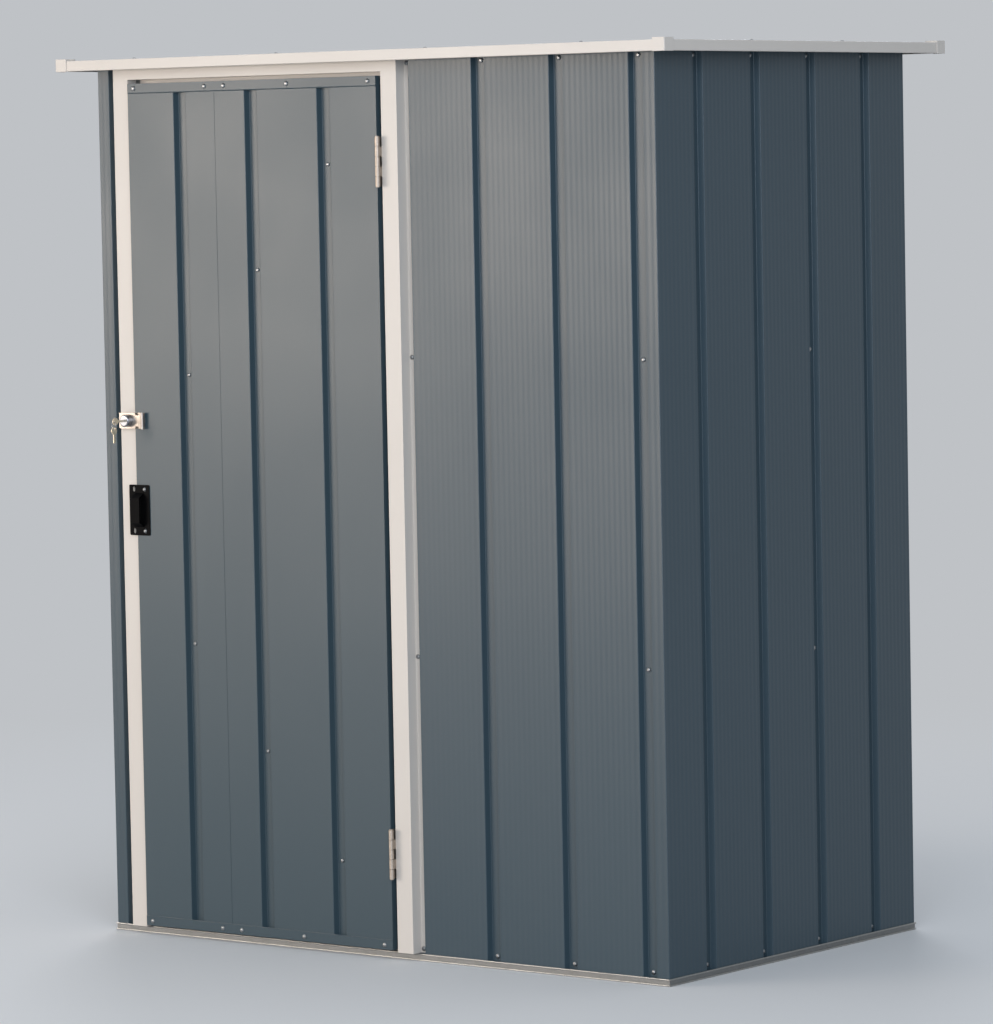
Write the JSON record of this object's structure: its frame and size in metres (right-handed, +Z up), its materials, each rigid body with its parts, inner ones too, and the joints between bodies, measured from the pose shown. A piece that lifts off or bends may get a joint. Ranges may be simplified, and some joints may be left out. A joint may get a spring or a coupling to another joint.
{
  "type": "metal tool shed",
  "caption": "Small ribbed sheet-metal tool shed with a flat overhanging roof and one outward-opening hinged door with a keyed hasp.",
  "frame": {"origin": "on the ground under the middle of the front base rail, midway between its two lips", "axes": "+Z up, +X to the right along the front, +Y from the front to the back"},
  "size_m": [1.594, 1.0102, 1.854],
  "materials": {
    "slate_paint": "satin",
    "cream_paint": "satin",
    "galvanised_steel": "matte",
    "hinge_steel": "satin",
    "chrome_plate": "polished",
    "black_paint": "satin",
    "key_brass": "satin"
  },
  "bodies": {
    "shed": {"front_wall": "slate_paint", "corner_wall_front_right": "slate_paint", "corner_wall_back_right": "slate_paint", "back_wall_right": "slate_paint", "back_wall_left": "slate_paint", "corner_wall_back_left": "slate_paint", "corner_wall_front_left": "slate_paint", "base_rail_front": "galvanised_steel", "base_rail_right": "galvanised_steel", "base_rail_back": "galvanised_steel", "base_rail_left": "galvanised_steel", "upper_rail_front": "galvanised_steel", "upper_rail_right": "galvanised_steel", "upper_rail_back": "galvanised_steel", "upper_rail_left": "galvanised_steel", "roof_beam": "galvanised_steel", "roof_sheet_left": "slate_paint", "roof_sheet_middle": "slate_paint", "roof_sheet_right": "slate_paint", "roof_trim_front": "cream_paint", "roof_trim_right": "cream_paint", "roof_trim_back": "cream_paint", "roof_trim_left": "cream_paint", "roof_corner_front_left": "cream_paint", "roof_corner_front_right": "cream_paint", "roof_corner_back_right": "cream_paint", "roof_corner_back_left": "cream_paint", "left_jamb": "cream_paint", "right_jamb": "cream_paint", "door_header": "cream_paint", "hinge_upper_frame_leaf": "hinge_steel", "hinge_lower_frame_leaf": "hinge_steel", "hinge_upper_pin": "hinge_steel", "hinge_lower_pin": "hinge_steel", "lock_keeper": "chrome_plate"},
    "door": {"door_skin_left": "slate_paint", "door_skin_right": "slate_paint", "door_rail_top": "slate_paint", "door_rail_bottom": "slate_paint", "door_stile_lock": "slate_paint", "door_stile_hinge": "slate_paint", "door_brace_upper": "galvanised_steel", "door_brace_lower": "galvanised_steel", "door_handle": "black_paint", "hinge_upper_door_leaf": "hinge_steel", "hinge_lower_door_leaf": "hinge_steel", "hasp_door_plate": "chrome_plate", "hasp_pin": "chrome_plate"},
    "hasp": {"hasp_strap": "chrome_plate"},
    "knob": {"lock_knob": "chrome_plate", "lock_key": "key_brass"},
    "keys": {"key_ring": "chrome_plate", "spare_key": "key_brass"}
  },
  "joints": [
    {"name": "door_swing", "type": "hinge", "parent": "shed", "child": "door", "pos_m": [0.05275, -0.03345, 0.91], "axis": [0, 0, 1], "range_deg": [0, 110]},
    {"name": "hasp_swing", "type": "hinge", "parent": "door", "child": "hasp", "pos_m": [-0.6004, -0.03575, 1.0925], "axis": [0, 0, 1], "range_deg": [0, 100]},
    {"name": "knob_turn", "type": "hinge", "parent": "hasp", "child": "knob", "pos_m": [-0.6409, -0.03525, 1.0925], "axis": [0, 1, 0], "range_deg": [0, 90]},
    {"name": "key_swing", "type": "hinge", "parent": "knob", "child": "keys", "pos_m": [-0.6409, -0.07925, 1.091], "axis": [1, 0, 0], "range_deg": [-40, 40]}
  ]
}
